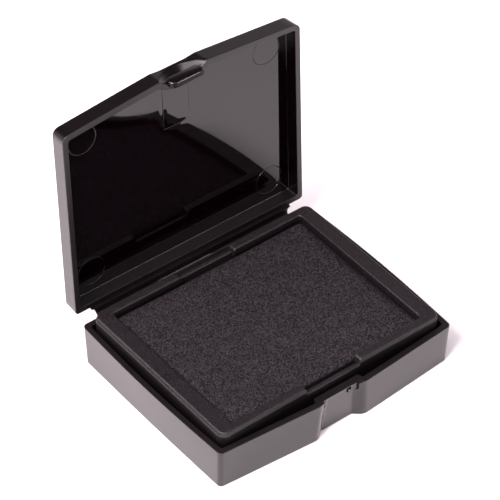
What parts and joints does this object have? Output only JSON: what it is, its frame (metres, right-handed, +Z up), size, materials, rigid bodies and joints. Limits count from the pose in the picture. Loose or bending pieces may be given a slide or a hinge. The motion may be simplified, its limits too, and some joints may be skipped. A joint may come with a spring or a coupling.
{
  "type": "ink pad",
  "caption": "Rectangular stamp ink pad: a lift-out framed pad in a shallow black plastic case whose hinged lid has a thumb latch at the front.",
  "frame": {"origin": "on the table, under the middle of the case's corners", "axes": "+X to the user's right, +Y towards the hinge, +Z up"},
  "size_m": [0.0882, 0.0816, 0.0862],
  "materials": {
    "case_plastic": "satin",
    "lid_plastic": "polished inside, satin outside",
    "hinge_plastic": "satin",
    "insert_plastic": "fine spark-eroded",
    "felt": "ink-soaked felt",
    "pad_foam": "fine open-cell foam, inked"
  },
  "bodies": {
    "base": {"case_base": "case_plastic", "base_hinge_leaf": "case_plastic", "insert_ribs": "case_plastic", "hinge_film": "hinge_plastic", "insert_tray": "insert_plastic", "ink_felt": "felt", "foam_pad": "pad_foam", "insert_frame": "insert_plastic"},
    "lid": {"case_lid": "lid_plastic", "lid_hinge_leaf": "lid_plastic", "lid_latch_bar": "lid_plastic"}
  },
  "joints": [
    {"name": "lid_hinge", "type": "hinge", "parent": "base", "child": "lid", "pos_m": [0, 0.0358, 0.0139], "axis": [-1, 0, 0], "range_deg": [-92.2, 87.8]}
  ]
}
